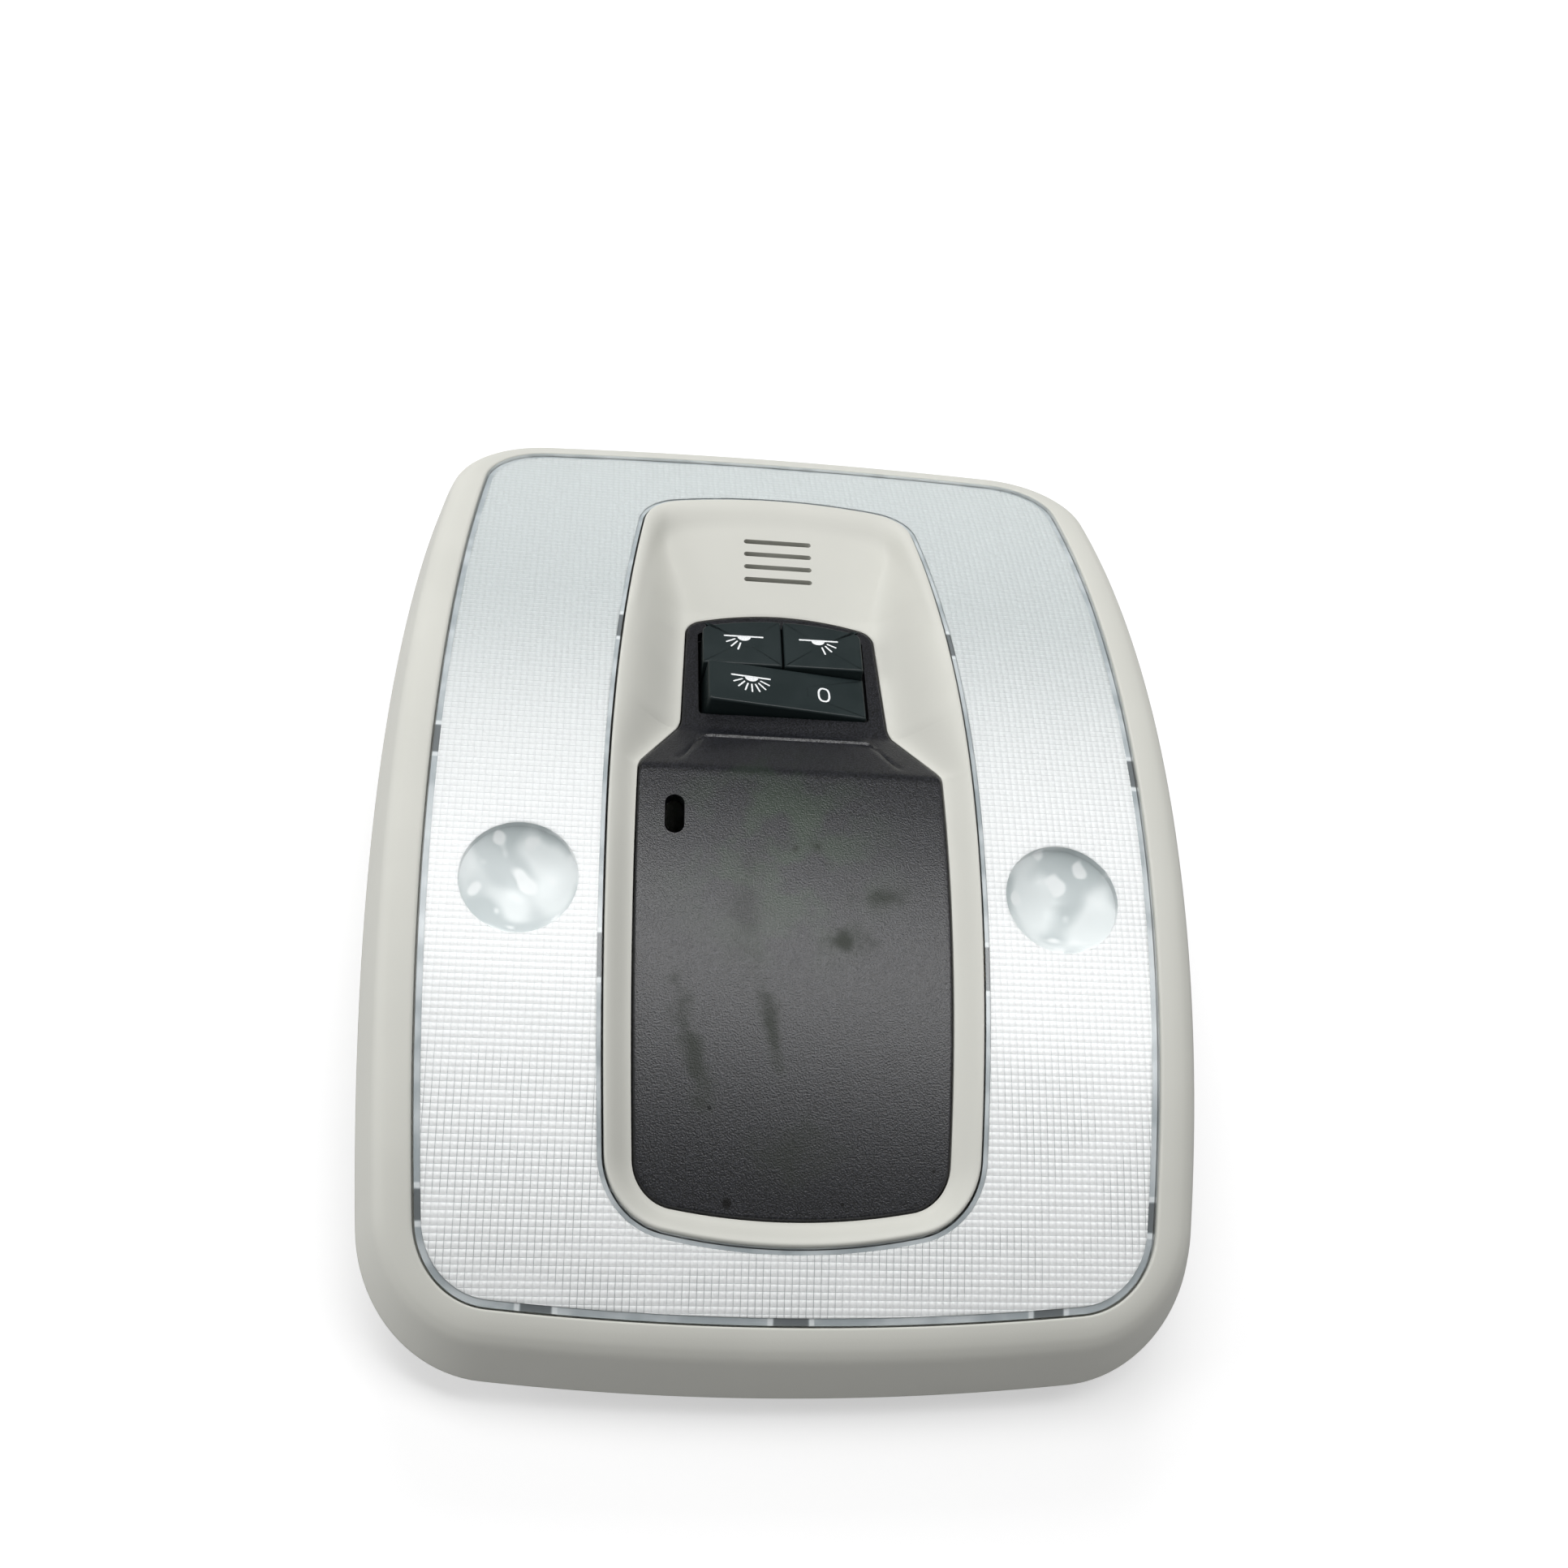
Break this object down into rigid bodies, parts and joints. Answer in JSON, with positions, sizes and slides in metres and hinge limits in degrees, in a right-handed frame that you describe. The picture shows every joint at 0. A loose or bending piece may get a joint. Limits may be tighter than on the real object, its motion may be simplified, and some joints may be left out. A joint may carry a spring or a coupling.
{
  "type": "car interior roof light",
  "caption": "Crowned roof light with a prism lens round a sunk console, two push keys, a tilting rocker, reading lights and microphone slots.",
  "frame": {"origin": "under the middle of the flat rear face, on the surface the light lies on", "axes": "+X across to the right, +Y along the console to the microphone end, +Z out of the lens"},
  "size_m": [0.1566, 0.2116, 0.047],
  "materials": {
    "warm_grey": "fine satin grain, warm light grey",
    "clear_lens": "clear, prisms on the inside, smooth reading windows",
    "black_panel": "fine satin grain, nearly black",
    "black_key": "smooth satin, nearly black, white printed signs",
    "steel_pin": "drawn wire",
    "inner_black": "moulded, unpainted",
    "switch_block": "moulded",
    "plunger_red": "moulded",
    "board": "lacquered glass fibre board",
    "film": "flat film cable",
    "contact": "stamped and tinned",
    "housing_white": "matt white, slightly translucent",
    "reflector": "vapour coated",
    "bulb_glass": "clear",
    "holder_grey": "heat resistant, matt",
    "spring_steel": "bare spring strip",
    "screw_steel": "zinc plated",
    "mic_case": "drawn can",
    "mic_rubber": "soft, matt"
  },
  "bodies": {
    "root": {"bezel": "warm_grey", "lens": "clear_lens", "console_trim": "warm_grey", "switch_panel": "black_panel", "switch_housing": "inner_black", "left_switch": "switch_block", "right_switch": "switch_block", "rocker_switch": "switch_block", "switch_board": "board", "main_board": "board", "board_link": "film", "connector_socket": "inner_black", "connector_pins": "contact", "rear_housing": "housing_white", "left_reflector": "reflector", "right_reflector": "reflector", "left_reading_bulb": "bulb_glass", "right_reading_bulb": "bulb_glass", "left_bulb_holder": "holder_grey", "right_bulb_holder": "holder_grey", "left_courtesy_bulb": "bulb_glass", "right_courtesy_bulb": "bulb_glass", "bulb_contacts": "contact", "contact_strips": "contact", "microphone": "mic_case", "microphone_boot": "mic_rubber", "roof_clips": "spring_steel", "panel_screws": "screw_steel", "board_screws": "screw_steel"},
    "left_key_body": {"left_key": "black_key", "left_plunger": "plunger_red"},
    "right_key_body": {"right_key": "black_key", "right_plunger": "plunger_red"},
    "rocker_body": {"rocker": "black_key", "rocker_shaft": "steel_pin"}
  },
  "joints": [
    {"name": "left_key_push", "type": "slide", "parent": "root", "child": "left_key_body", "axis": [0, -0.1362, -0.9907], "range_m": [0, 0.0015], "stiffness_N_per_m": 400, "springref_m": -0.002},
    {"name": "right_key_push", "type": "slide", "parent": "root", "child": "right_key_body", "axis": [0, -0.1362, -0.9907], "range_m": [0, 0.0015], "stiffness_N_per_m": 400, "springref_m": -0.002},
    {"name": "rocker_tilt", "type": "hinge", "parent": "root", "child": "rocker_body", "pos_m": [0, 0.02511, 0.03223], "axis": [0, 0.9907, -0.1362], "range_deg": [-13.2, 0]}
  ]
}
